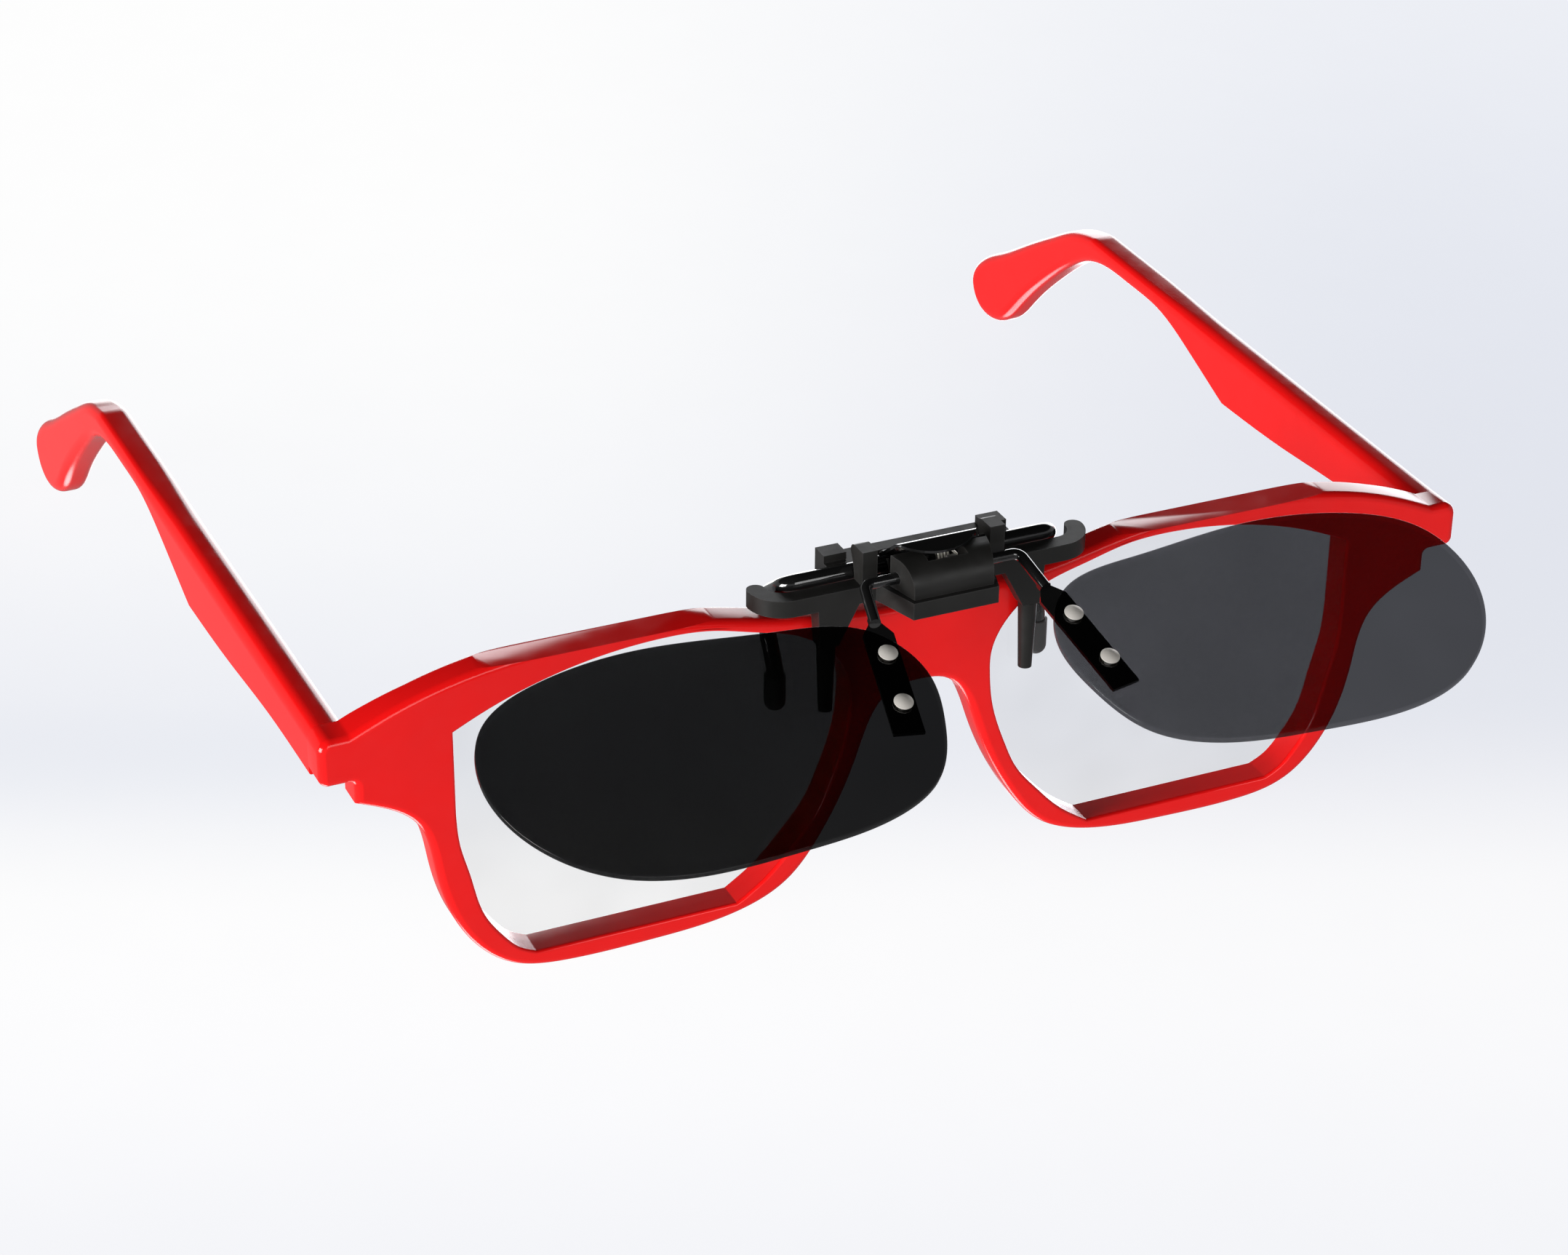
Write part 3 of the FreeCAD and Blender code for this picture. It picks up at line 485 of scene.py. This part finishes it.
def build_tint(side, word):
    loops = [[(side * u, v) for u, v in smooth(TINT, closed=True, per=14)]]
    for along in RIVETS_ALONG:
        u, v = strip_point(along)
        loops.append(circle((side * u, v), RIVET_HOLE))
    bm = plate(loops, TINT_LOW, TINT_HIGH, [(0.16, 0.16), (0.02, 0.02), (0.02, 0.02)], flip_place)
    lens = piece("tinted_lens_" + word, bm, "lens_flip_assembly",
                 [SMOKE[word], SMOKE_SIDE[word]], ["dark_lens_" + word])
    lens.visible_shadow = False


# ------------------------------------------------------------------ CAD pieces kept as they are

def dress(name, material, edge):
    """Gives a kept CAD node its material, and rounds its edges where a width is given."""
    obj = nodes[name]
    obj.data.materials.clear()
    obj.data.materials.append(material)
    if edge:
        weld = obj.modifiers.new("weld", "WELD")
        weld.merge_threshold = 0.002 * MM
        flat = obj.modifiers.new("flat", "DECIMATE")
        flat.decimate_type = "DISSOLVE"
        flat.angle_limit = math.radians(0.5)
        bevel = obj.modifiers.new("edge", "BEVEL")
        bevel.width = edge * MM
        bevel.segments = 2
        bevel.limit_method = "ANGLE"
        bevel.angle_limit = math.radians(40)
        bevel.use_clamp_overlap = False


# Each row: material, rounding of the edges in millimetres, CAD nodes.
KEPT = [
    (STEEL, 0.05, ["hinge_front_leaf_right", "hinge_front_leaf_left",
                   "hinge_temple_leaf_right", "hinge_temple_leaf_left"]),
    (STEEL, 0, ["hinge_screw_right", "hinge_screw_left", "housing_screws"]),
    (BLACK, 0, ["front_jaw", "hinge_housing", "rear_yoke"]),
    (LACQUER, 0, ["spring_saddle", "saddle_pin", "rear_jaw_rod", "lens_bridge"]),
    (WIRE, 0, ["clamp_springs", "flip_spring"]),
    (NYLON, 0, ["flip_detent", "rivet_washers_right", "rivet_washers_left"]),
    (RUBBER, 0, ["rear_pad_right", "rear_pad_left"]),
    (NICKEL, 0, ["lens_rivets_right", "lens_rivets_left"]),
]

build_front()
for side, word in ((1, "right"), (-1, "left")):
    build_clear(side, word)
    build_tint(side, word)
    build_temple(side, word)
for material, edge, names in KEPT:
    for name in names:
        dress(name, material, edge)


# ------------------------------------------------------------------ floor, light and camera

FLOOR_REACH = 6000
LIGHT_AIM = (0, 0, 0.005)


def ramp(g, source, stops):
    """A smooth run of 8-bit sRGB colours along a value."""
    n = g.node("ValToRGB", links={"Fac": source})
    n.color_ramp.interpolation = "B_SPLINE"
    e = n.color_ramp.elements
    while len(e) > 1:
        e.remove(e[-1])
    e[0].position, e[0].color = stops[0][0], linear(*stops[0][1])
    for position, colour in stops[1:]:
        e.new(position).color = linear(*colour)
    return n.outputs[0]


def facing(g, vector, toward, span, power):
    """A brightness that depends on how nearly a vector points in one direction."""
    unit = Vector(toward).normalized()
    dot = g.node("VectorMath", operation="DOT_PRODUCT", values={1: unit}, links={0: vector})
    limits = {"From Min": span[0], "From Max": span[1], "To Min": power[0], "To Max": power[1]}
    return g.node("MapRange", interpolation_type="SMOOTHSTEP", values=limits,
                  links={"Value": dot.outputs["Value"]}).outputs[0]


def floor_material():
    """A pale sweep from white to a soft blue-grey. It glows so that shadows stay faint, and shows
    polished surfaces two brighter patches: one from behind the object and one from below it."""
    g = Graph(bpy.data.materials.new("pale_floor"))
    coords = g.node("TexCoord")
    split = g.node("SeparateXYZ", links={"Vector": coords.outputs["Window"]})
    left = ramp(g, split.outputs[1], [
        (0.0, (243, 244, 248)), (0.12, (252, 252, 254)), (0.28, (254, 254, 254)), (0.34, (245, 246, 249)),
        (0.39, (232, 235, 242)), (0.44, (236, 238, 244)), (0.56, (246, 247, 250)), (0.75, (254, 254, 254))])
    right = ramp(g, split.outputs[1], [
        (0.0, (243, 244, 248)), (0.15, (250, 250, 252)), (0.30, (251, 251, 252)), (0.37, (238, 239, 244)),
        (0.44, (226, 229, 237)), (0.66, (226, 229, 238)), (0.85, (231, 234, 242)), (1.0, (238, 240, 246))])
    across = g.node("MapRange", interpolation_type="SMOOTHSTEP",
                    values={"From Min": 0.25, "From Max": 0.95}, links={"Value": split.outputs[0]})
    tone = g.node("MixRGB", links={"Fac": across.outputs["Result"], "Color1": left, "Color2": right})
    fleck = g.spread(g.noise(90.0, 4.0), 0.997, 1.003)
    tone = g.node("VectorMath", operation="SCALE", links={0: tone.outputs[0], "Scale": fleck})
    path = g.node("LightPath")
    incoming = g.node("NewGeometry").outputs["Incoming"]
    behind = facing(g, incoming, (-0.56, -0.80, 0.20), (0.86, 0.97), (0.27, 4.2))
    below = facing(g, incoming, (0.18, -0.25, 0.95), (0.95, 0.99), (0.0, 5.5))
    shine = g.node("Math", operation="ADD", links={0: behind, 1: below}).outputs[0]
    unseen = g.node("MapRange", values={"To Min": 0.80},
                    links={"Value": path.outputs["Is Glossy Ray"], "To Max": shine})
    power = g.node("MapRange", values={"To Max": 0.985},
                   links={"Value": path.outputs["Is Camera Ray"], "To Min": unseen.outputs["Result"]})
    glow = g.node("Emission", links={"Color": tone.outputs[0], "Strength": power.outputs["Result"]})
    matt = g.node("BsdfDiffuse", values={"Color": (0.03, 0.03, 0.03, 1)})
    both = g.node("AddShader", links={0: glow.outputs[0], 1: matt.outputs[0]})
    return g.out(both.outputs[0])


def build_floor():
    """A slightly tilted sheet under the rims and the temple tips."""
    near, far = Vector((0, -2.0, -22.6)), Vector((0, 113.0, -12.1))
    slope = (far - near).normalized()
    mesh = bpy.data.meshes.new("floor")
    points = []
    for sx, sy in ((-1, -1), (1, -1), (1, 1), (-1, 1)):
        points.append((near + Vector((sx * FLOOR_REACH, 0, 0)) + slope * (sy * FLOOR_REACH)) * MM)
    mesh.from_pydata(points, [], [(0, 1, 2, 3)])
    floor = bpy.data.objects.new("floor", mesh)
    bpy.context.scene.collection.objects.link(floor)
    mesh.materials.append(floor_material())


def area_light(name, where, power, width, height):
    data = bpy.data.lights.new(name, "AREA")
    data.shape = "RECTANGLE"
    data.size, data.size_y, data.energy = width, height, power
    light = bpy.data.objects.new(name, data)
    light.location = where
    light.rotation_euler = (Vector(LIGHT_AIM) - Vector(where)).to_track_quat("-Z", "Y").to_euler()
    bpy.context.scene.collection.objects.link(light)


def build_world():
    """Dim overhead and bright towards the horizon. Polished surfaces see a brighter band behind
    the object, and the camera sees an even pale grey."""
    world = bpy.data.worlds.new("studio")
    bpy.context.scene.world = world
    g = Graph(world)
    sky = g.node("TexCoord").outputs["Generated"]
    height = g.node("SeparateXYZ", links={"Vector": sky}).outputs[2]
    soft = g.node("MapRange", values={"From Min": 0.05, "From Max": 0.32, "To Min": 0.52, "To Max": 0.04},
                  links={"Value": height}).outputs["Result"]
    band = g.node("MapRange", values={"From Min": 0.29, "From Max": 0.38, "To Min": 1.0, "To Max": 0.03},
                  links={"Value": height}).outputs["Result"]
    behind = facing(g, sky, (0.56, 0.80, 0.10), (0.84, 0.96), (0.3, 4.0))
    sharp = g.node("Math", operation="MULTIPLY", links={0: band, 1: behind}).outputs[0]
    path = g.node("LightPath")
    unseen = g.node("MapRange", links={"Value": path.outputs["Is Glossy Ray"],
                                       "To Min": soft, "To Max": sharp})
    power = g.node("MapRange", values={"To Max": 0.86},
                   links={"Value": path.outputs["Is Camera Ray"], "To Min": unseen.outputs["Result"]})
    glow = g.node("Background", values={"Color": (0.97, 0.98, 1.0, 1)},
                  links={"Strength": power.outputs["Result"]})
    g.node("OutputWorld", links={"Surface": glow.outputs[0]})


def build_camera():
    data = bpy.data.cameras.new("camera")
    data.sensor_fit = "HORIZONTAL"
    data.sensor_width = 36.0
    data.lens = 84.27
    data.clip_start, data.clip_end = 0.01, 50.0
    camera = bpy.data.objects.new("camera", data)
    place = Vector((-163.235, -325.737, 210.277)) * MM
    right = Vector((0.912226, -0.409616, 0.007685))
    ahead = Vector((0.361844, 0.796757, -0.483991))
    up = right.cross(ahead)
    turn = Matrix((right, up, -ahead)).transposed().to_4x4()
    camera.matrix_world = Matrix.Translation(place) @ turn
    bpy.context.scene.collection.objects.link(camera)
    bpy.context.scene.camera = camera


build_floor()
build_world()
build_camera()
area_light("key_left", (-1.30, -0.26, 0.20), 26.0, 0.9, 0.5)
area_light("front_fill", (0.1, -1.4, 0.5), 5.6, 1.0, 0.6)
bpy.context.scene.view_settings.view_transform = "Standard"
bpy.context.scene.view_settings.look = "None"
